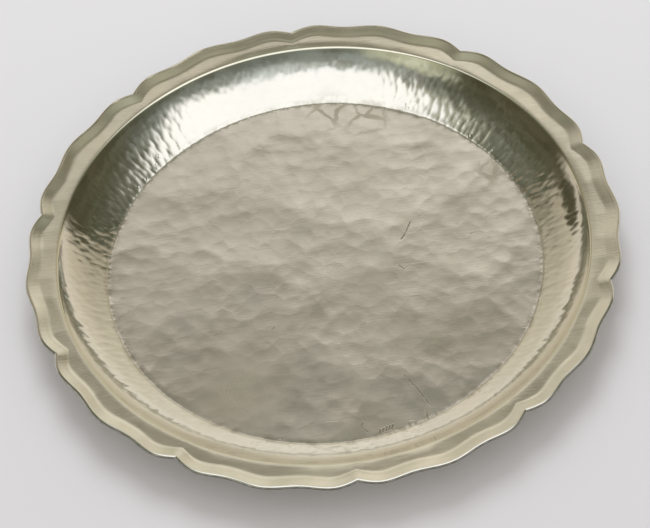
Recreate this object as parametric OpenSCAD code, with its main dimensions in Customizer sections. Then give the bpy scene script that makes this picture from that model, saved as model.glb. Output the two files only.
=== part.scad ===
// Hand-raised metal paten plate: a flat-floored well, a lobed rim with a turned-up border,
// and a half-round wire soldered along the edge in one length per lobe.
// Millimetres. +Z is up, the origin is the centre of the underside of the floor,
// and +X runs through the crown of the first lobe.

/* [Plate] */
// Diameter over the lobe crowns, outside the edge wire
overall_d = 250; // [180:1:330]
// Width of the rim at a crown, from the lip to the outside of the wire
rim_w = 12.8; // [10.5:0.1:30]
// Depth of the well, from the flat of the rim down to the floor
well_depth = 13.8; // [8:0.1:18]
// Inside radius of the bend at the edge of the floor
bend_r = 3; // [1:0.1:8]
// Slope of the straight lower part of the wall, in degrees from level
wall_slope = 25.5; // [20:0.5:32]
// Width of the straight lower part of the wall, up its slope
wall_low_w = 6.8; // [2:0.1:12]
// Inside radius of the curved upper part of the wall
wall_r = 37; // [28:0.5:50]
// Thickness of the sheet
sheet_t = 1.2; // [0.6:0.05:2]
// Bend radius of the underside at the lip
lip_under_r = 0.3; // [0.1:0.05:2]

/* [Lobes] */
// Number of lobes round the rim
lobe_count = 10; // [6:1:16]
// How far the hollows between crown and shoulder lie in from the crown circle
hollow_in = 1.7; // [0:0.1:3]
// How far the shoulders lie in from the crown circle
shoulder_in = 0.5; // [0:0.1:2]
// How far the notches between lobes lie in from the crown circle
notch_in = 3.4; // [1:0.1:5]
// Place of a hollow, as a share of the way from crown to notch
hollow_at = 0.4; // [0.3:0.01:0.5]
// Place of a shoulder, as a share of the way from crown to notch
shoulder_at = 0.72; // [0.6:0.01:0.8]

/* [Border] */
// Width of the turned-up border, from its fold to the edge wire
border_w = 4.6; // [2:0.1:6]
// Rise of the border from its fold to the edge of the sheet
border_rise = 0.6; // [0.2:0.05:2]

/* [Edge wire] */
// Height of the half-round wire, whose flat side is against the sheet
wire_h = 1.8; // [1.3:0.05:3]

/* [Hidden] */

wire_d = wire_h / 2;
crown_r = overall_d / 2;
lobe_angle = 360 / lobe_count;
rad_per_deg = PI / 180;

// Heights above the table
rim_top = sheet_t + well_depth;
edge_top = rim_top + border_rise;
wire_mid = edge_top - sheet_t / 2;

// Arcs of the section: bend and wall have their centres above the sheet, the lip has its own under the rim.
// The slope where wall meets lip is the one that makes up the depth of the well
lip_r = lip_under_r + sheet_t;
rim_in_r = crown_r - rim_w;
arc_gap = wall_r + lip_r;
low_rise = bend_r * (1 - cos(wall_slope)) + wall_low_w * sin(wall_slope);
lip_slope = acos((low_rise + wall_r * cos(wall_slope) + lip_r - well_depth) / arc_gap);
lip_c = [rim_in_r, rim_top - lip_r];
wall_c = lip_c + arc_gap * [-sin(lip_slope), cos(lip_slope)];
floor_r = wall_c[0] + (wall_r - bend_r) * sin(wall_slope) - wall_low_w * cos(wall_slope);
bend_c = [floor_r, sheet_t + bend_r];

// Lap of the flat rim over the turned part of the plate, so that they join as one sheet
rim_lap = 0.6;

// Steps round the arcs of the bend, the wall and the lip, along one lobe, and round the wire's half-round
bend_steps = 6;
wall_steps = 12;
lip_steps = 6;
lobe_steps = 24;
wire_steps = 6;

// Half of the share of a lobe over which the outline's slope is taken
slope_step = 0.001;

// Points on an arc of radius r about centre c, from angle a0 to angle a1
function arc(c, r, a0, a1, steps) =
    [for (i = [0:steps]) let (a = a0 + (a1 - a0) * i / steps) c + r * [cos(a), sin(a)]];

// Half section of the well: floor, bend, lower and upper wall, lip and the start of the flat rim
module well_section() {
    polygon(concat(
        [[0, 0], [0, sheet_t]],
        arc(bend_c, bend_r, -90, wall_slope - 90, bend_steps),
        arc(wall_c, wall_r, wall_slope - 90, lip_slope - 90, wall_steps),
        arc(lip_c, lip_r, 90 + lip_slope, 90, lip_steps),
        [[rim_in_r + 2 * rim_lap, rim_top], [rim_in_r + 2 * rim_lap, rim_top - sheet_t]],
        arc(lip_c, lip_under_r, 90, 90 + lip_slope, lip_steps),
        arc(wall_c, wall_r + sheet_t, lip_slope - 90, wall_slope - 90, wall_steps),
        arc(bend_c, bend_r + sheet_t, wall_slope - 90, -90, bend_steps)
    ));
}

// Smooth step from 0 to 1, level at both ends
function ease(f) = (1 - cos(180 * f)) / 2;

// Distance of the outline in from the crown circle, at share u of the way from crown to notch
function outline_in(u) =
    u < hollow_at ? hollow_in * ease(u / hollow_at) :
    u < shoulder_at ?
        hollow_in + (shoulder_in - hollow_in) * ease((u - hollow_at) / (shoulder_at - hollow_at)) :
    shoulder_in + (notch_in - shoulder_in) * (1 - cos(90 * (u - shoulder_at) / (1 - shoulder_at)));

// Tilt of the outline's normal away from the radius, for u from -1 at one notch to 1 at the next
function outline_tilt(u) =
    let (lo = max(u - slope_step, -1), hi = min(u + slope_step, 1))
    let (fall = outline_in(abs(hi)) - outline_in(abs(lo)))
    let (run = (hi - lo) * lobe_angle / 2 * rad_per_deg)
    atan(fall / run / (crown_r - outline_in(abs(u))));

// Point of the outline moved in by d along its normal, which at a notch meets the next lobe's
function rim_point(lobe, u, d) =
    let (a = lobe_angle * (lobe + u / 2), r = crown_r - outline_in(abs(u)), tilt = outline_tilt(u))
    abs(u) == 1 ?
        (r - d / cos(tilt)) * [cos(a), sin(a)] :
        r * [cos(a), sin(a)] - d * [cos(a + tilt), sin(a + tilt)];

// Point on a circle of radius r, on the same radius as point p
function on_circle(p, r) = r * p / norm(p);

function at_height(p, z) = [p[0], p[1], z];

// Section of the rim from the lap to the edge of the sheet, at share u of a lobe
function rim_section(lobe, u) =
    let (edge = rim_point(lobe, u, wire_d), fold = rim_point(lobe, u, wire_d + border_w))
    let (lap = on_circle(fold, rim_in_r + rim_lap))
    [
        at_height(lap, rim_top - sheet_t), at_height(fold, rim_top - sheet_t),
        at_height(edge, edge_top - sheet_t), at_height(edge, edge_top),
        at_height(fold, rim_top), at_height(lap, rim_top)
    ];

// Section of the wire, from the bottom of its flat side round the outside to the top
function wire_section(lobe, u) =
    [for (i = [0:wire_steps])
        let (a = 180 * i / wire_steps - 90)
        at_height(rim_point(lobe, u, wire_d - wire_d * cos(a)), wire_mid + wire_d * sin(a))];

// Solid through a row of sections, joined end to end or closed by its two end sections
module sweep(sections, closed) {
    n = len(sections);
    m = len(sections[0]);
    sides = [
        for (i = [0:closed ? n - 1 : n - 2], j = [0:m - 1])
            let (a = i * m + j, b = i * m + (j + 1) % m, c = (i + 1) % n * m)
            each [[a, b, c + (j + 1) % m], [a, c + (j + 1) % m, c + j]]
    ];
    ends = [[for (j = [m - 1:-1:0]) j], [for (j = [0:m - 1]) (n - 1) * m + j]];
    polyhedron(points = [for (s = sections) each s], faces = closed ? sides : concat(sides, ends));
}

module plate_body() {
    color([0.76, 0.74, 0.66]) {
        rotate_extrude($fn = 240)
            well_section();
        sweep([for (lobe = [0:lobe_count - 1], i = [0:lobe_steps - 1])
            rim_section(lobe, 2 * i / lobe_steps - 1)], true);
    }
}

module edge_wire(lobe) {
    color([0.84, 0.82, 0.75])
        sweep([for (i = [0:lobe_steps]) wire_section(lobe, 2 * i / lobe_steps - 1)], false);
}

plate_body();
for (lobe = [0:lobe_count - 1])
    edge_wire(lobe);
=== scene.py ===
import math

import bpy
import numpy as np
from mathutils import Matrix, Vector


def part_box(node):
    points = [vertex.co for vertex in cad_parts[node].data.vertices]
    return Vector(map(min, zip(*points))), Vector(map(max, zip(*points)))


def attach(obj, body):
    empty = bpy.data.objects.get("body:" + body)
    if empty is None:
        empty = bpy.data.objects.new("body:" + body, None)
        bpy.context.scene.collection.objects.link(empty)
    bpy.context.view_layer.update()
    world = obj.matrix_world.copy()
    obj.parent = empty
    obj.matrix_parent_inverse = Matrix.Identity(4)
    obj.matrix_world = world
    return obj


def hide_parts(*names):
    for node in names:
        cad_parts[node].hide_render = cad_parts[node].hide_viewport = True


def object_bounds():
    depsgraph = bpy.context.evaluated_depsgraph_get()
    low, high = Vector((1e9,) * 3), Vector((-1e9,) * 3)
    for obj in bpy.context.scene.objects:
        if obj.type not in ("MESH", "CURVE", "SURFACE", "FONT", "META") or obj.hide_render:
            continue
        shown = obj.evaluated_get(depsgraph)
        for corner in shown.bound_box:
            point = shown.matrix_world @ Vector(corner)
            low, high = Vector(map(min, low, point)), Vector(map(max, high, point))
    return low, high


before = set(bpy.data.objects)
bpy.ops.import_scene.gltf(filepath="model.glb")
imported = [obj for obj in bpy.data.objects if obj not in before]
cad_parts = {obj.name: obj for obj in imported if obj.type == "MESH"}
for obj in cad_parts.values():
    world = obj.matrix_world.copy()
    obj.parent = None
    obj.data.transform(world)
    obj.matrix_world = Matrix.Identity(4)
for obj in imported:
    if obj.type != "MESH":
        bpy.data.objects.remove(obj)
cad_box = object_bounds()

MM = 0.001

# ---------------------------------------------------------------- sizes

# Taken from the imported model
sheet_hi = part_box("plate_body")[1]
wire_lo, wire_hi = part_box("edge_wire_1")
crown_r = cad_box[1].x
edge_top = sheet_hi.z
wire_h = wire_hi.z - wire_lo.z
wire_mid = (wire_hi.z + wire_lo.z) / 2
wire_d = wire_h / 2
sheet_t = 2 * (edge_top - wire_mid)

# The other sizes of the CAD model, which its box doesn't give
rim_w = 12.8 * MM
bend_r = 3 * MM
wall_slope = math.radians(25.5)
wall_low_w = 6.8 * MM
wall_r = 37 * MM
lip_r = 1.5 * MM
border_w = 4.6 * MM
border_rise = 0.6 * MM
lobe_count = 10
hollow_in = 1.7 * MM
shoulder_in = 0.5 * MM
notch_in = 3.4 * MM
hollow_at = 0.4
shoulder_at = 0.72

rim_top = edge_top - border_rise
rim_in_r = crown_r - rim_w
lip_under_r = lip_r - sheet_t
well_depth = rim_top - sheet_t
low_rise = bend_r * (1 - math.cos(wall_slope)) + wall_low_w * math.sin(wall_slope)
lip_slope = math.acos((low_rise + wall_r * math.cos(wall_slope) + lip_r - well_depth) / (wall_r + lip_r))
wall_x = rim_in_r - (wall_r + lip_r) * math.sin(lip_slope)
wall_z = rim_top - lip_r + (wall_r + lip_r) * math.cos(lip_slope)
floor_r = wall_x + (wall_r - bend_r) * math.sin(wall_slope) - wall_low_w * math.cos(wall_slope)
fold_d = wire_d + border_w

# Lengths up the section from the floor's edge, to the ends of the bend, the straight part and the wall
bend_end = bend_r * wall_slope
low_end = bend_end + wall_low_w
wall_end = low_end + wall_r * (lip_slope - wall_slope)

# Points round the plate: a multiple of 32 in all, so that rings can be halved five times
lobe_steps = 144
round_steps = lobe_count * lobe_steps
lobe_angle = 2 * math.pi / lobe_count

# ---------------------------------------------------------------- outline of the rim


def ease(f):
    """Smooth step from 0 to 1, level at both ends."""
    return (1 - np.cos(np.pi * np.clip(f, 0, 1))) / 2


def outline_in(u):
    """How far the outline lies in from the crown circle, at share u of the way from crown to notch."""
    u = np.abs(u)
    hollow = hollow_in * ease(u / hollow_at)
    rise = (shoulder_in - hollow_in) * ease((u - hollow_at) / (shoulder_at - hollow_at))
    corner = 1 - np.cos(np.pi / 2 * np.clip((u - shoulder_at) / (1 - shoulder_at), 0, 1))
    return hollow + rise + (notch_in - shoulder_in) * corner


def rim_point(lobe, u, d):
    """Points of the outline moved in by d along its normal, mitred at the notches."""
    step = 0.001
    lo, hi = np.maximum(u - step, -1), np.minimum(u + step, 1)
    a = lobe_angle * (lobe + u / 2)
    r = crown_r - outline_in(u)
    tilt = np.arctan((outline_in(hi) - outline_in(lo)) / ((hi - lo) * lobe_angle / 2) / r)
    at_notch = np.abs(u) > 1 - 1e-6
    x = np.where(at_notch, (r - d / np.cos(tilt)) * np.cos(a), r * np.cos(a) - d * np.cos(a + tilt))
    y = np.where(at_notch, (r - d / np.cos(tilt)) * np.sin(a), r * np.sin(a) - d * np.sin(a + tilt))
    return np.stack([x, y], -1)


# ---------------------------------------------------------------- hammer marks


def smooth(x, lo, hi):
    """0 below lo, 1 above hi, and a smooth step between."""
    t = np.clip((x - lo) / (hi - lo), 0, 1)
    return t * t * (3 - 2 * t)


def blows(points, centres, lift, soft, period=None):
    """Surface that overlapping hammer blows leave: the lowest of many bowls, with softened ridges."""
    height = np.empty(len(points))
    for start in range(0, len(points), 4000):
        part = points[start:start + 4000]
        dx = part[:, None, 0] - centres[None, :, 0]
        dy = part[:, None, 1] - centres[None, :, 1]
        if period:
            dy = dy - period * np.round(dy / period)
        bowls = dx * dx + dy * dy + lift
        lowest = bowls.min(1)
        height[start:start + 4000] = lowest - soft * np.log(np.exp((lowest[:, None] - bowls) / soft).sum(1))
    return height


def scattered(width, height, spacing, seed):
    """Centres in a jittered grid over a width by height patch about the origin."""
    rng = np.random.default_rng(seed)
    nx, ny = int(width / spacing) + 1, int(height / spacing) + 1
    gx, gy = np.meshgrid(np.arange(nx), np.arange(ny), indexing="ij")
    places = np.stack([gx.ravel(), gy.ravel()], -1) + rng.uniform(-0.48, 0.48, (nx * ny, 2))
    return places * spacing - np.array([width, height]) / 2, rng


def blow_layer(xy, spacing, seed, spread, soft):
    """Blows of one size over the floor, as a height for a bowl of unit curvature."""
    disc = 2 * (floor_r + 12 * MM)
    centres, rng = scattered(disc, disc, spacing, seed)
    lift = rng.uniform(-0.5, 0.5, len(centres)) * (spread * spacing) ** 2
    return blows(xy, centres, lift, soft * spacing ** 2)


def floor_marks(xy):
    """Height of the planished floor: small, middle and broad blows, the small ones in patches."""
    r = np.hypot(xy[:, 0], xy[:, 1])
    patches = smooth(waves(xy, 14, 38 * MM, 1), -0.35, 0.35)
    by_edge = smooth(r, 40 * MM, 88 * MM)
    small = blow_layer(xy, 6.2 * MM, 11, 0.55, 0.008) * (0.25 + 0.85 * patches + 0.5 * by_edge)
    middle = blow_layer(xy, 13 * MM, 12, 0.6, 0.012) * 0.45
    broad = blow_layer(xy, 33 * MM, 13, 0.6, 0.02) * 0.22
    return small + middle + broad


def wall_marks(along, angle):
    """Height of the raised wall: narrow blows that run up it, deeper by the floor, faint on the -Y side."""
    across = 2.5 * MM
    up = 3.3 * MM
    round_r = (floor_r + rim_in_r) / 2
    period = round(2 * math.pi * round_r / across)
    rng = np.random.default_rng(21)
    rows = 15
    n = period * rows
    row_gap = 0.62
    centre_up = (np.arange(n) // period - 0.5 + rng.uniform(-0.5, 0.5, n)) * row_gap
    centre_round = np.arange(n) % period + rng.uniform(-0.5, 0.5, n)
    centres = np.stack([centre_up, centre_round], -1)
    points = np.stack([along / up, (angle / (2 * math.pi) % 1) * period], -1)
    high_up = smooth(along, 12 * MM, 21 * MM)
    near_side = smooth(-np.sin(angle), 0.4, 0.9)
    depth = 0.16 * MM * (1 - 0.45 * high_up) * (1 - 0.5 * near_side)
    return blows(points, centres, rng.uniform(-0.35, 0.35, n), 0.006, period) * depth


# ---------------------------------------------------------------- mesh of the sheet

turn = (np.arange(round_steps) / lobe_steps - 0.5) * lobe_angle
lobe_of = np.arange(round_steps) // lobe_steps
u_of = 2 * (np.arange(round_steps) % lobe_steps) / lobe_steps - 1


def circle(r, z, stride):
    """Ring of points on a circle."""
    a = turn[::stride]
    return np.stack([r * np.cos(a), r * np.sin(a), np.full(len(a), z)], -1)


def rim_ring(d, z, stride=2):
    """Ring of points at distance d in from the outline."""
    xy = rim_point(lobe_of[::stride], u_of[::stride], d)
    return np.concatenate([xy, np.full((len(xy), 1), z)], 1)


def stride_at(r, finest):
    """Which points round the plate a ring of radius r keeps, so that its faces stay nearly square."""
    coarsest, full_r = 32, 132 * MM
    stride = finest
    while stride < coarsest and r < full_r / stride:
        stride *= 2
    return stride


def waves(xy, seed, length, height):
    """Slow unevenness of a sheet worked by hand, as a few crossed waves."""
    rng = np.random.default_rng(seed)
    total = np.zeros(len(xy))
    count = 7
    for _ in range(count):
        heading, phase = rng.uniform(0, 2 * math.pi, 2)
        k = 2 * math.pi / (length * rng.uniform(0.7, 1.6))
        total += np.sin(k * (xy[:, 0] * math.cos(heading) + xy[:, 1] * math.sin(heading)) + phase)
    return total * height / count


def section(s):
    """Radius, height and slope of the well's top at length s up the section from the floor's edge."""
    if s <= 0:
        return floor_r + s, sheet_t, 0
    if s <= bend_end:
        slope = s / bend_r
        return floor_r + bend_r * math.sin(slope), sheet_t + bend_r * (1 - math.cos(slope)), slope
    slope = wall_slope + max(s - low_end, 0) / wall_r
    left = min(s - low_end, 0)
    r = wall_x + wall_r * math.sin(slope) + left * math.cos(wall_slope)
    z = wall_z - wall_r * math.cos(slope) + left * math.sin(wall_slope)
    return r, z, slope


def well_ring(s, side, stride):
    """Ring s along the section from the floor's edge, on the top (side 1) or underside (side 0)."""
    r, z, slope = section(s)
    if side == 0:
        r, z = r + sheet_t * math.sin(slope), z - sheet_t * math.cos(slope)
    ring = circle(r, z, stride)
    a = turn[::stride]
    normal = np.stack([-math.sin(slope) * np.cos(a), -math.sin(slope) * np.sin(a),
                       np.full(len(a), math.cos(slope))], -1)
    near_lip = smooth(wall_end - s, 0.2 * MM, 3.5 * MM)
    on_wall = smooth(s, -0.8 * MM, 1.6 * MM)
    height = floor_marks(ring[:, :2]) * (1 - on_wall) + wall_marks(np.full(len(a), s), a) * on_wall
    if side == 0:
        # The underside is smooth up to the foot of the wall, so that it rests flat
        height = height * smooth(s, 1 * MM, 5 * MM)
    return ring + normal * (height * near_lip)[:, None]


def rim_height(d, u):
    """Height of the sheet's top above the flat rim, at distance d in from the outline."""
    soft = 0.25 * MM + 0.9 * MM * (1 - np.abs(u) ** 6)
    x = fold_d - d
    eased = np.where(x < -soft, 0, np.where(x > soft, x, (x + soft) ** 2 / (4 * soft)))
    return border_rise / border_w * eased


def rim_marks(ring, share):
    """Unevenness of the rim: slow waves, faint blows, and a slight rise outward on the -Y side."""
    distance = np.hypot(ring[:, 0], ring[:, 1])
    share = smooth(distance, rim_in_r, rim_in_r + 2 * MM) * share
    near_side = np.maximum(-ring[:, 1], 0) / distance
    height = waves(ring[:, :2], 8, 40 * MM, 0.04 * MM)
    height = height + blow_layer(ring[:, :2], 9 * MM, 31, 0.5, 0.03) * 0.45
    return (height + 0.008 * (distance - rim_in_r) * near_side) * share


def top_rings():
    """Rings of the sheet's top, from near its centre to the outside of the border."""
    floor_gap = 1.3 * MM
    rings = []
    for s in np.arange(-floor_r + floor_gap, -0.6 * MM, floor_gap):
        rings.append(well_ring(s, 1, stride_at(floor_r + s, 2)))
    for s in np.concatenate([np.linspace(0, bend_end, 4), np.linspace(bend_end, wall_end, 24)[1:]]):
        rings.append(well_ring(s, 1, 1))
    for slope in np.linspace(lip_slope, 0, 7)[1:]:
        r = rim_in_r - lip_r * math.sin(slope)
        rings.append(circle(r, rim_top - lip_r + lip_r * math.cos(slope), 2))

    # The flat of the rim, then the border, by distance outward from the fold
    inner = circle(rim_in_r, rim_top, 2)
    fold = rim_ring(fold_d + 1.2 * MM, rim_top)
    flat = [inner + (fold - inner) * t for t in (0.25, 0.5, 0.75)]
    steps = np.array([-1.2, -0.8, -0.4, -0.15, 0.15, 0.4, 0.8, 1.2, 2.1, 3.0, 3.8, 4.3]) * MM
    border = [rim_ring(fold_d - step, rim_top) for step in steps]
    for ring, step in zip(border, steps):
        ring[:, 2] += rim_height(fold_d - step, u_of[::2])
    shares = [1] * len(flat) + list(1 - smooth(steps, 0, border_w))
    for ring, share in zip(flat + border, shares):
        ring[:, 2] += rim_marks(ring, share)
    return rings + flat + border


def under_rings():
    """Rings round the edge of the sheet, and of its underside back to near the centre."""
    edge_round = 0.15 * MM
    rings = []
    rings.append(rim_ring(wire_d + 0.3 * edge_round, edge_top - 0.3 * edge_round))
    rings.append(rim_ring(wire_d, edge_top - edge_round))
    rings.append(rim_ring(wire_d, edge_top - sheet_t + edge_round))
    rings.append(rim_ring(wire_d + edge_round, edge_top - sheet_t))
    for d in (3.0, 1.5, 0.5):
        fall = border_rise * (1 - d * MM / border_w)
        rings.append(rim_ring(fold_d - d * MM, edge_top - sheet_t - fall, 4))
    outer = rim_ring(fold_d + 0.6 * MM, rim_top - sheet_t, 4)
    under = circle(rim_in_r, rim_top - sheet_t, 4)
    rings += [outer + (under - outer) * t for t in (0, 0.5, 1.0)]
    for slope in np.linspace(0, lip_slope, 4)[1:-1]:
        r = rim_in_r - lip_under_r * math.sin(slope)
        rings.append(circle(r, rim_top - lip_r + lip_under_r * math.cos(slope), 4))
    for s in np.concatenate([np.linspace(wall_end, bend_end, 14), np.linspace(bend_end, 0, 4)[1:]]):
        rings.append(well_ring(s, 0, 4))
    for s in np.linspace(-6 * MM, -floor_r + 5 * MM, 12):
        rings.append(well_ring(s, 0, stride_at(floor_r + s, 4)))
    return rings


def bridge(a, a_count, b, b_count):
    """Faces between two rings, whose counts are equal or one twice the other."""
    faces = []
    if a_count == b_count:
        for i in range(a_count):
            j = (i + 1) % a_count
            faces.append((a + i, a + j, b + j, b + i))
    elif b_count == 2 * a_count:
        for i in range(a_count):
            j = (i + 1) % a_count
            faces.append((a + i, b + 2 * i + 1, b + 2 * i))
            faces.append((a + i, a + j, b + 2 * i + 1))
            faces.append((a + j, b + (2 * i + 2) % b_count, b + 2 * i + 1))
    else:
        for i in range(b_count):
            j = (i + 1) % b_count
            faces.append((a + 2 * i, a + 2 * i + 1, b + i))
            faces.append((a + 2 * i + 1, b + j, b + i))
            faces.append((a + 2 * i + 1, a + (2 * i + 2) % a_count, b + j))
    return faces


def make_object(name, points, faces, material, sharp_angle=None):
    """A smooth-shaded mesh object with one material, in the scene."""
    mesh = bpy.data.meshes.new(name)
    mesh.from_pydata([tuple(p) for p in points], [], faces)
    mesh.validate()
    mesh.polygons.foreach_set("use_smooth", [True] * len(mesh.polygons))
    if sharp_angle:
        mesh.set_sharp_from_angle(angle=sharp_angle)
    mesh.materials.append(material)
    thing = bpy.data.objects.new(name, mesh)
    bpy.context.scene.collection.objects.link(thing)
    return thing


def make_sheet(material):
    """The whole sheet as one closed mesh: top, edge and underside."""
    rings = top_rings() + under_rings()
    centre_top = np.array([[0, 0, sheet_t + floor_marks(np.zeros((1, 2)))[0]]])
    centre_under = np.array([[0, 0, 0]])
    starts = np.cumsum([1] + [len(r) for r in rings])
    points = np.concatenate([centre_top, *rings, centre_under])
    first, last = len(rings[0]), len(rings[-1])
    faces = [(0, 1 + i, 1 + (i + 1) % first) for i in range(first)]
    for k in range(len(rings) - 1):
        faces += [f[::-1] for f in bridge(starts[k], len(rings[k]), starts[k + 1], len(rings[k + 1]))]
    end, begin = len(points) - 1, starts[-2]
    faces += [(end, begin + (i + 1) % last, begin + i) for i in range(last)]
    return make_object("plate_sheet", points, faces, material, math.radians(50))


# ---------------------------------------------------------------- edge wire


def make_wire(lobe, material):
    """One length of half-round wire, bent to a lobe and mitred at both notches."""
    u = np.linspace(-1, 1, lobe_steps // 2 + 1)
    arc = np.linspace(-math.pi / 2, math.pi / 2, 13)
    rng = np.random.default_rng(100 + lobe)
    phase = rng.uniform(0, 2 * math.pi, 3)
    swell = 1 + 0.02 * (np.sin(9 * u + phase[0]) + np.sin(17 * u + phase[1])) * (1 - u ** 2)
    rings = []
    for a in arc:
        d = wire_d - wire_d * math.cos(a) * swell
        z = wire_mid + wire_d * math.sin(a) * swell
        rings.append(np.concatenate([rim_point(lobe, u, d), z[:, None]], 1))
    n, m = len(u), len(arc)
    points = np.stack(rings, 1).reshape(-1, 3)
    faces = []
    for i in range(n - 1):
        for j in range(m):
            k = (j + 1) % m
            faces.append((i * m + j, i * m + k, (i + 1) * m + k, (i + 1) * m + j))
    faces.append(tuple(range(m))[::-1])
    faces.append(tuple((n - 1) * m + j for j in range(m)))
    return make_object(f"wire_lobe_{lobe + 1}", points, faces, material, math.radians(50))


# ---------------------------------------------------------------- materials


def linear(value):
    """Linear light for a display value from 0 to 255."""
    v = value / 255
    return v / 12.92 if v <= 0.04045 else ((v + 0.055) / 1.055) ** 2.4


# What share of red, green and blue light the clean metal mirrors
metal_tint = (0.91, 0.88, 0.81)


def node(tree, kind, inputs=None, **settings):
    """A new shader node, with its inputs set to values or linked to sockets."""
    made = tree.nodes.new(kind)
    for key, value in settings.items():
        setattr(made, key, value)
    for key, value in (inputs or {}).items():
        socket = made.inputs[key]
        if isinstance(value, bpy.types.NodeSocket):
            tree.links.new(value, socket)
        else:
            socket.default_value = value
    return made


def maths(tree, operation, *values, clamp=False):
    """A number worked out from one or two others."""
    made = node(tree, "ShaderNodeMath", dict(enumerate(values)), operation=operation, use_clamp=clamp)
    return made.outputs[0]


def times(tree, first, *others):
    for other in others:
        first = maths(tree, "MULTIPLY", first, other)
    return first


def plus(tree, first, *others):
    for other in others:
        first = maths(tree, "ADD", first, other)
    return first


def vector(tree, operation, *values):
    """A vector operation, whose result is a number for DOT_PRODUCT and LENGTH."""
    inputs = dict(zip((0, 3) if operation == "SCALE" else (0, 1), values))
    made = node(tree, "ShaderNodeVectorMath", inputs, operation=operation)
    return made.outputs[1 if operation in ("DOT_PRODUCT", "LENGTH") else 0]


def step_between(tree, value, lo, hi, low=0.0, high=1.0):
    """low where value is below lo, high above hi, smooth between; lo may be the larger."""
    made = node(tree, "ShaderNodeMapRange",
                {"Value": value, "From Min": lo, "From Max": hi, "To Min": low, "To Max": high},
                interpolation_type="SMOOTHSTEP")
    return made.outputs["Result"]


def mix(tree, share, a, b, blend="MIX"):
    """Colour a where share is 0 and b where it is 1, or a multiplied by b."""
    made = node(tree, "ShaderNodeMix", data_type="RGBA", blend_type=blend)
    for index, value in ((0, share), (6, a), (7, b)):
        if isinstance(value, bpy.types.NodeSocket):
            tree.links.new(value, made.inputs[index])
        else:
            made.inputs[index].default_value = value
    return made.outputs[2]


def noise(tree, place, size, detail=3.0, roughness=0.5):
    """Noise whose features are about size metres across."""
    made = node(tree, "ShaderNodeTexNoise",
                {"Vector": place, "Scale": 1 / size, "Detail": detail, "Roughness": roughness})
    return made.outputs[0]


def voronoi(tree, place, size, feature="F1"):
    """Distance, from 0, within cells about size metres across."""
    inputs = {"Vector": place, "Scale": 1 / size}
    return node(tree, "ShaderNodeTexVoronoi", inputs, feature=feature).outputs["Distance"]


def wander(tree, place, size, detail, reach):
    """Shifts up to about reach metres, which keep a pattern from looking regular."""
    made = node(tree, "ShaderNodeTexNoise", {"Vector": place, "Scale": 1 / size, "Detail": detail})
    return vector(tree, "SCALE", made.outputs[1], reach)


def line_mark(tree, flat, start, end, width):
    """1 on a line across the floor from start to end, in mm, fading to 0 at width from it."""
    along = [(end[0] - start[0]) * MM, (end[1] - start[1]) * MM, 0]
    from_start = vector(tree, "SUBTRACT", flat, (start[0] * MM, start[1] * MM, 0))
    span = along[0] ** 2 + along[1] ** 2
    share = maths(tree, "DIVIDE", vector(tree, "DOT_PRODUCT", from_start, along), span, clamp=True)
    off = vector(tree, "SUBTRACT", from_start, vector(tree, "SCALE", along, share))
    return step_between(tree, vector(tree, "LENGTH", off), width * MM, 0.25 * width * MM)


def spot_mark(tree, flat, centre, inner, outer):
    """1 within inner mm of a place on the floor, 0 beyond outer."""
    off = vector(tree, "SUBTRACT", flat, (centre[0] * MM, centre[1] * MM, 0))
    return step_between(tree, vector(tree, "LENGTH", off), outer * MM, inner * MM)


def strongest(tree, marks):
    """The greatest of several numbers."""
    total = marks[0]
    for mark in marks[1:]:
        total = maths(tree, "MAXIMUM", total, mark)
    return total


# Scratches on the floor: start, end and half width in mm
scratches = [
    ((33.6, 10.2), (35.2, 12.2), 0.42), ((35.2, 12.2), (38.6, 19.0), 0.26),
    ((30.6, -3.4), (32.6, -5.8), 0.30), ((32.6, -5.8), (34.0, -4.9), 0.32),
    ((25.5, -61.0), (30.2, -69.5), 0.22), ((30.2, -69.5), (34.0, -78.5), 0.26),
    ((31.6, -80.6), (32.4, -84.4), 0.40), ((32.4, -84.4), (35.4, -83.0), 0.30),
    ((32.4, -84.4), (32.9, -88.2), 0.40), ((-9.5, -80.0), (-4.0, -80.6), 0.26),
    ((7.2, -81.0), (4.8, -84.6), 0.26), ((4.8, -84.6), (7.6, -88.0), 0.30),
    ((62.0, 8.0), (64.5, 9.0), 0.22), ((-46.0, 33.4), (-44.0, 34.5), 0.20),
    ((-24.0, -27.0), (-25.5, -28.5), 0.20),
]
# Row of worn punch strokes and a worn ring, which show no figure
punch_row = [((12.2 + 1.25 * i, -89.0 + 0.3 * i), (12.8 + 1.35 * i, -87.1 + 0.4 * i), 0.42)
             for i in range(5)]
punch_ring = ((25.8, -86.6), 1.35)
# Patches: centre, and the radii in mm within which they are full and beyond which they end
dull_patches = [((20.2, -34.0), 0.6, 3.4), ((-44.0, -61.0), 4.0, 26.0)]
faint_patches = [((42.0, -47.0), 1.0, 9.0), ((36.5, 17.5), 1.0, 7.0), ((-88.0, 10.0), 1.5, 5.0),
                 ((58.0, 15.0), 0.3, 1.6), ((70.0, 5.0), 0.3, 1.4)]
stained_patches = [((12.0, 86.0), 3.0, 13.0), ((27.0, 79.0), 2.0, 13.0), ((76.0, 40.0), 1.0, 11.0)]
# Broad patches of painted shade on the floor's lower left and lower right
painted_shade_patches = [((-46.0, -50.0), 8.0, 42.0), ((50.0, -44.0), 6.0, 38.0)]


def start_metal(name):
    """A new metal material: itself, its node tree, its shader, and the place and height being shaded."""
    material = bpy.data.materials.new(name)
    material.use_nodes = True
    tree = material.node_tree
    shader = tree.nodes["Principled BSDF"]
    shader.inputs["Metallic"].default_value = 1
    place = node(tree, "ShaderNodeTexCoord").outputs["Object"]
    height = node(tree, "ShaderNodeSeparateXYZ", {0: place}).outputs[2]
    return material, tree, shader, place, height


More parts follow.
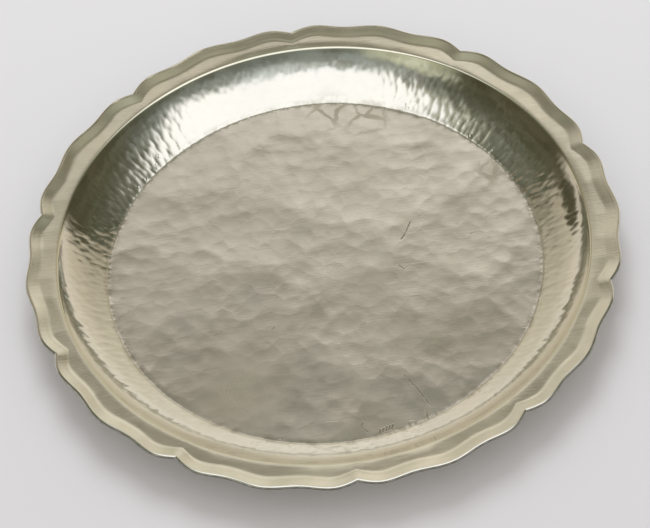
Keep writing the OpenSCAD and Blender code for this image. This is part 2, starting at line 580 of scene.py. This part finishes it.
def set_relief(tree, shader, relief):
    """Bumps of the given height in metres."""
    bump = node(tree, "ShaderNodeBump", {"Strength": 1.0, "Distance": 1.0, "Height": relief})
    tree.links.new(bump.outputs[0], shader.inputs["Normal"])


def round_patches(tree, flat, places):
    """1 in the middle of each of several round patches."""
    return strongest(tree, [spot_mark(tree, flat, *place) for place in places])


def cut_marks(tree, place, flat):
    """Scratches, broken along their length, and the worn punch marks."""
    broken = step_between(tree, noise(tree, place, 0.8 * MM, 2), 0.28, 0.50)
    drawn = strongest(tree, [line_mark(tree, flat, *mark) for mark in scratches])
    struck = strongest(tree, [line_mark(tree, flat, *mark) for mark in punch_row])
    (x, y), ring_r = punch_ring
    from_middle = vector(tree, "LENGTH", vector(tree, "SUBTRACT", flat, (x * MM, y * MM, 0)))
    off_ring = maths(tree, "ABSOLUTE", maths(tree, "SUBTRACT", from_middle, ring_r * MM))
    worn_ring = step_between(tree, off_ring, 0.5 * MM, 0.15 * MM, 0.0, 0.6)
    return strongest(tree, [times(tree, drawn, broken), struck, worn_ring])


def plate_relief(tree, place, flat, radius, on_floor, cuts):
    """Fine relief: cuts, facets on the floor, hairlines in two directions, and pits low on the wall."""
    facets = voronoi(tree, vector(tree, "ADD", flat, wander(tree, place, 9 * MM, 2, 4 * MM)), 6.5 * MM)
    relief = plus(tree, times(tree, cuts, -0.10 * MM), times(tree, facets, facets, on_floor, 0.028 * MM))
    for turned, stretch in ((0.6, (1, 28, 1)), (2.1, (1, 22, 1))):
        streaks = node(tree, "ShaderNodeMapping",
                       {"Vector": place, "Rotation": (0, 0, turned), "Scale": stretch}).outputs[0]
        relief = plus(tree, relief, times(tree, noise(tree, streaks, 18 * MM, 4, 0.7), 0.006 * MM))
    pits = step_between(tree, voronoi(tree, place, 1.7 * MM), 0.42, 0.12)
    some = step_between(tree, noise(tree, place, 5 * MM, 2), 0.52, 0.66)
    low_wall = times(tree, step_between(tree, radius, floor_r + 9 * MM, floor_r + 1 * MM),
                     step_between(tree, radius, floor_r - 2 * MM, floor_r))
    pits = times(tree, pits, some, plus(tree, low_wall, 0.06))
    grain = noise(tree, place, 1.6 * MM, 3)
    return plus(tree, relief, times(tree, pits, -0.05 * MM), times(tree, grain, 0.004 * MM))


def plate_metal():
    """Silver-plated sheet with an old polish: mottled, stained, darker below, scratched and pitted, with
    broad patches of painted shade on the floor.
    """
    material, tree, shader, place, height = start_metal("plate_metal")
    flat = vector(tree, "MULTIPLY", place, (1, 1, 0))
    radius = vector(tree, "LENGTH", flat)

    # Shares of the underside, the top, the floor's top, the strip along its edge, and the rim
    underside = step_between(tree, height, sheet_t - 0.1 * MM, sheet_t - 0.4 * MM)
    top_side = maths(tree, "SUBTRACT", 1.0, underside)
    on_floor = times(tree, step_between(tree, radius, floor_r + 1.5 * MM, floor_r - 0.5 * MM), top_side)
    floor_edge = times(tree, step_between(tree, radius, floor_r - 3 * MM, floor_r + 0.3 * MM),
                       step_between(tree, radius, floor_r + 3.5 * MM, floor_r + 1 * MM))
    on_rim = step_between(tree, height, rim_top - 1.5 * MM, rim_top - 0.5 * MM)

    # Marks of use, and broad patches of painted shade on the floor
    crackle = vector(tree, "ADD", place, wander(tree, place, 6 * MM, 3, 5 * MM))
    crackle = step_between(tree, voronoi(tree, crackle, 11 * MM, "DISTANCE_TO_EDGE"), 0.10, 0.03)
    stains = times(tree, crackle, round_patches(tree, flat, stained_patches), top_side)
    painted_shade = times(tree, round_patches(tree, flat, painted_shade_patches), on_floor)
    dull = times(tree, round_patches(tree, flat, dull_patches), top_side)
    faint = times(tree, round_patches(tree, flat, faint_patches), top_side)
    cuts = times(tree, cut_marks(tree, place, flat), on_floor)

    # Colour: slow drifts of tone, then what lies over it, each as a share and a colour
    tone = step_between(tree, noise(tree, place, 42 * MM, 2), 0.35, 0.65)
    colour = mix(tree, tone, (0.885, 0.865, 0.80, 1), (0.93, 0.895, 0.82, 1))
    dark = (0.52, 0.48, 0.40, 1)
    mottle = step_between(tree, noise(tree, place, 3.5 * MM, 4, 0.6), 0.40, 0.72, 0.0, 0.055)
    patchy = step_between(tree, noise(tree, place, 6 * MM, 4, 0.65), 0.42, 0.66)
    for share, over in (
            (mottle, dark),
            (times(tree, floor_edge, patchy, 0.55), dark),
            (times(tree, stains, 0.42), dark),
            # Painted shade: the floor darkened in broad patches
            (times(tree, painted_shade, 0.24), dark),
            (times(tree, dull, 0.30), dark),
            (times(tree, faint, 0.20), (0.60, 0.58, 0.46, 1)),
            (times(tree, cuts, 0.75), (0.30, 0.28, 0.22, 1)),
            (times(tree, underside, 0.35), (0.66, 0.60, 0.49, 1))):
        colour = mix(tree, share, colour, over)
    colour = mix(tree, on_rim, colour, (0.99, 0.985, 0.90, 1), "MULTIPLY")
    tree.links.new(colour, shader.inputs["Base Color"])

    # Polish: softer on the floor, where things were laid, and dull where it is marked and below
    worn = step_between(tree, noise(tree, place, 16 * MM, 5, 0.6), 0.3, 0.7, 0.085, 0.15)
    polish = plus(tree, worn, times(tree, on_floor, 0.035),
                  times(tree, strongest(tree, [stains, dull, cuts]), 0.12), times(tree, underside, 0.08))
    tree.links.new(polish, shader.inputs["Roughness"])
    set_relief(tree, shader, plate_relief(tree, place, flat, radius, on_floor, cuts))
    return material


def wire_metal():
    """Half-round wire, plain on top, with painted shade on its lower half that stands for the shadowed table
    it mirrors; rougher there too.
    """
    material, tree, shader, place, height = start_metal("wire_metal")
    tone = step_between(tree, noise(tree, place, 12 * MM, 3), 0.35, 0.65)
    colour = mix(tree, tone, (0.87, 0.85, 0.78, 1), (0.93, 0.90, 0.83, 1))
    uneven = maths(tree, "SUBTRACT", noise(tree, place, 2.5 * MM, 3), 0.5)
    level = plus(tree, height, times(tree, uneven, 0.5 * MM))
    # Painted shade: the wire's lower half darkened, with an uneven edge, for the shadowed table it mirrors
    below = step_between(tree, level, wire_mid + 0.50 * MM, wire_mid + 0.15 * MM)
    colour = mix(tree, times(tree, below, 0.93), colour, (0.12, 0.11, 0.08, 1))
    tree.links.new(colour, shader.inputs["Base Color"])
    polish = step_between(tree, noise(tree, place, 3 * MM, 4), 0.3, 0.7, 0.10, 0.20)
    tree.links.new(plus(tree, polish, times(tree, below, 0.15)), shader.inputs["Roughness"])
    set_relief(tree, shader, times(tree, noise(tree, place, 1.4 * MM, 3), 0.012 * MM))
    return material


# ---------------------------------------------------------------- room and light


def seen(red, green, blue):
    """Light that the metal mirrors as this display colour."""
    return [linear(c) / t for c, t in zip((red, green, blue), metal_tint)] + [1]


# Light from the room by angle from straight up, in degrees: behind the plate, beside it and in front.
# Behind it, a dark gap shows between the table and the foot of the backdrop
behind = {0: (168, 165, 145), 30: (160, 157, 138), 34.5: (122, 119, 103), 36: (128, 124, 109),
          37.2: (134, 128, 113), 37.9: (135, 129, 113), 38.3: (142, 135, 119), 38.8: (165, 158, 143),
          39.3: (179, 172, 157), 40.3: (191, 184, 170), 41.3: (203, 196, 181), 45: (203, 195, 179),
          52: (170, 165, 145), 60: (178, 169, 147), 66: (190, 181, 157), 72: (196, 187, 164),
          78: (206, 197, 175), 84.5: (217, 208, 188), 86.6: (219, 210, 190), 87.6: (84, 78, 58),
          89.4: (80, 74, 54), 90: (207, 198, 177), 95: (203, 194, 173)}
beside = {0: (168, 166, 148), 24: (168, 166, 147), 30: (148, 146, 126), 36: (106, 106, 89),
          42: (96, 95, 79), 48: (82, 81, 64), 56: (77, 75, 56), 66: (76, 72, 53), 80: (69, 64, 46),
          95: (66, 60, 42)}
ahead = {0: (235, 233, 226), 28: (235, 233, 226), 33: (208, 208, 199), 39: (172, 173, 162),
         45: (146, 147, 136), 51: (124, 126, 115), 57: (106, 108, 96), 63: (92, 93, 79),
         70: (76, 76, 60), 95: (72, 69, 53)}
ramp_end = 120


def light_ramp(tree, angle, stops):
    """Colour for an angle from straight up."""
    share = maths(tree, "DIVIDE", angle, math.radians(ramp_end))
    ramp = node(tree, "ShaderNodeValToRGB", {0: share})
    elements = ramp.color_ramp.elements
    while len(elements) > 1:
        elements.remove(elements[-1])
    for i, (degrees, colour) in enumerate(stops.items()):
        element = elements[0] if i == 0 else elements.new(degrees / ramp_end)
        element.position = degrees / ramp_end
        element.color = seen(*colour)
    return ramp.outputs[0]


def blob(tree, direction, turned, angle, inner, outer):
    """1 within inner degrees of a direction, given by azimuth and angle from straight up, 0 beyond outer."""
    turned, angle = math.radians(turned), math.radians(angle)
    middle = (math.sin(angle) * math.cos(turned), math.sin(angle) * math.sin(turned), math.cos(angle))
    near = vector(tree, "DOT_PRODUCT", direction, middle)
    return step_between(tree, near, math.cos(math.radians(outer)), math.cos(math.radians(inner)))


def angle_step(tree, angle, lo, hi):
    """Smooth step between two angles in degrees."""
    return step_between(tree, angle, math.radians(lo), math.radians(hi))


def tint(tree, share, colour, by):
    return mix(tree, share, colour, by, "MULTIPLY")


def room_sides(tree, direction, angle, side_x, side_y):
    """The room beside and in front: uneven, with a pale screen in front on the left."""
    facing = maths(tree, "SUBTRACT", side_y, times(tree, side_x, 0.2))
    colour = mix(tree, step_between(tree, facing, -0.15, -0.75),
                 light_ramp(tree, angle, beside), light_ramp(tree, angle, ahead))
    screen = strongest(tree, [blob(tree, direction, 219, 58, 5, 13), blob(tree, direction, 234, 60, 5, 12)])
    colour = mix(tree, screen, colour, seen(176, 174, 147))
    clutter = step_between(tree, noise(tree, direction, 0.13, 3, 0.6), 0.34, 0.68)
    return tint(tree, 1.0, colour, mix(tree, clutter, (0.74, 0.74, 0.70, 1), (1.38, 1.42, 1.48, 1)))


def backdrop(tree, direction, angle, x, side_y):
    """The pale backdrop: dimmer to the sides, and brighter on the right at middle heights."""
    colour = light_ramp(tree, angle, behind)
    aside = step_between(tree, side_y, 0.92, 0.50)
    colour = tint(tree, times(tree, aside, 0.55), colour, (0.72, 0.68, 0.62, 1))
    off_middle = times(tree, step_between(tree, maths(tree, "ABSOLUTE", x), 0.08, 0.17),
                       angle_step(tree, angle, 58, 50), angle_step(tree, angle, 33, 37))
    colour = tint(tree, off_middle, colour, (0.62, 0.59, 0.52, 1))
    middle_height = times(tree, angle_step(tree, angle, 38.2, 39.3), angle_step(tree, angle, 60, 50))
    right_light = mix(tree, middle_height, (1.0, 1.0, 1.0, 1), (1.22, 1.21, 1.22, 1))
    to_right = step_between(tree, x, -0.04, 0.055)
    colour = tint(tree, 1.0, colour, mix(tree, to_right, (0.92, 0.91, 0.90, 1), right_light))
    return mix(tree, blob(tree, direction, 147, 74, 6, 11), colour, seen(70, 66, 48))


def softbox(tree, angle, side_x, side_y):
    """1 inside the softbox overhead, in degrees across and towards the back from straight up."""
    across = times(tree, angle, side_x, 180 / math.pi)
    back = times(tree, angle, side_y, 180 / math.pi)
    slanted = plus(tree, across, times(tree, back, 0.3))
    return times(tree, step_between(tree, across, -28, -21), step_between(tree, slanted, 38, 27),
                 step_between(tree, back, -34, -25), step_between(tree, back, 20, 13))


def background(tree, colour, strength=1.0):
    return node(tree, "ShaderNodeBackground", {"Color": colour, "Strength": strength}).outputs[0]


def make_world():
    """The room that the metal mirrors, and an even light for the table."""
    world = bpy.data.worlds.new("studio")
    world.use_nodes = True
    bpy.context.scene.world = world
    tree = world.node_tree
    direction = node(tree, "ShaderNodeTexCoord").outputs["Generated"]
    parts = node(tree, "ShaderNodeSeparateXYZ", {0: direction}).outputs
    x, y, z = parts[0], parts[1], parts[2]
    angle = maths(tree, "ARCCOSINE", z)
    level = vector(tree, "LENGTH", vector(tree, "MULTIPLY", direction, (1, 1, 0)))
    level = maths(tree, "MAXIMUM", level, 0.001)
    side_x = maths(tree, "DIVIDE", x, level)
    side_y = maths(tree, "DIVIDE", y, level)

    # The backdrop begins behind a line 27 degrees from straight up, which bows back at the sides
    lean = math.radians(27)
    past_edge = maths(tree, "SUBTRACT", times(tree, y, math.cos(lean)), times(tree, z, math.sin(lean)))
    past_edge = maths(tree, "SUBTRACT", past_edge, times(tree, x, x, 0.29))
    colour = mix(tree, step_between(tree, past_edge, -0.05, 0.05),
                 room_sides(tree, direction, angle, side_x, side_y),
                 backdrop(tree, direction, angle, x, side_y))
    lamp = background(tree, (1.0, 1.0, 1.0, 1), 1.12)
    in_box = softbox(tree, angle, side_x, side_y)
    mirrored = node(tree, "ShaderNodeMixShader", {0: in_box, 1: background(tree, colour), 2: lamp}).outputs[0]

    # The table sees a wide plain room instead
    plain = background(tree, (0.655, 0.63, 0.605, 1))
    ray = node(tree, "ShaderNodeLightPath").outputs
    not_mirrored = maths(tree, "MAXIMUM", ray["Is Camera Ray"], ray["Is Diffuse Ray"])
    out = node(tree, "ShaderNodeMixShader", {0: not_mirrored, 1: mirrored, 2: plain}).outputs[0]
    output = next(n for n in tree.nodes if n.type == "OUTPUT_WORLD")
    tree.links.new(out, output.inputs["Surface"])


def make_floor():
    """A wide pale table top, a hair below the plate so that the two faces don't share a plane."""
    half, drop = 4.0, 0.02 * MM
    mesh = bpy.data.meshes.new("table")
    corners = [(-half, -half), (half, -half), (half, half), (-half, half)]
    mesh.from_pydata([(x, y, -drop) for x, y in corners], [], [(0, 1, 2, 3)])
    material = bpy.data.materials.new("table_white")
    material.use_nodes = True
    shader = material.node_tree.nodes["Principled BSDF"]
    shader.inputs["Base Color"].default_value = (0.80, 0.795, 0.81, 1)
    shader.inputs["Roughness"].default_value = 0.6
    mesh.materials.append(material)
    floor = bpy.data.objects.new("table", mesh)
    bpy.context.scene.collection.objects.link(floor)


def make_fill():
    """A large soft lamp above that lights the table and isn't mirrored in the metal."""
    lamp = bpy.data.lights.new("fill", "AREA")
    lamp.shape = "DISK"
    lamp.size = 1.0
    lamp.energy = 10.2
    lamp.color = (0.90, 0.95, 1.0)
    thing = bpy.data.objects.new("fill", lamp)
    thing.location = (0.05, 1.0, 1.2)
    thing.rotation_euler = (math.radians(-32), 0, 0)
    thing.visible_glossy = False
    bpy.context.scene.collection.objects.link(thing)


# ---------------------------------------------------------------- camera


def make_camera():
    """A long lens above the near side, turned and rolled a little."""
    elevation, azimuth, roll = math.radians(51.13), math.radians(-1.9), math.radians(-6.09)
    distance, aim_right, aim_up = 1.7792, 0.86 * MM, -6.82 * MM
    ahead_dir = np.array([-math.sin(azimuth) * math.cos(elevation), math.cos(azimuth) * math.cos(elevation),
                          -math.sin(elevation)])
    level = np.array([math.cos(azimuth), math.sin(azimuth), 0])
    above = np.cross(level, ahead_dir)
    right = math.cos(roll) * level + math.sin(roll) * above
    up = -math.sin(roll) * level + math.cos(roll) * above
    place = np.array([0, 0, rim_top]) - distance * ahead_dir + aim_right * right + aim_up * up
    camera = bpy.data.cameras.new("camera")
    camera.sensor_width = 36
    camera.lens = 236.25
    thing = bpy.data.objects.new("camera", camera)
    bpy.context.scene.collection.objects.link(thing)
    turned = Matrix([right, up, -ahead_dir]).transposed().to_4x4()
    thing.matrix_world = Matrix.Translation(place) @ turned
    bpy.context.scene.camera = thing


# ---------------------------------------------------------------- the scene

make_camera()
make_world()
make_floor()
make_fill()
bpy.context.scene.view_settings.view_transform = "Standard"

sheet = make_sheet(plate_metal())
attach(sheet, "root")
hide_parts("plate_body")

bright = wire_metal()
for lobe in range(lobe_count):
    wire = make_wire(lobe, bright)
    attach(wire, "root")
    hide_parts(f"edge_wire_{lobe + 1}")
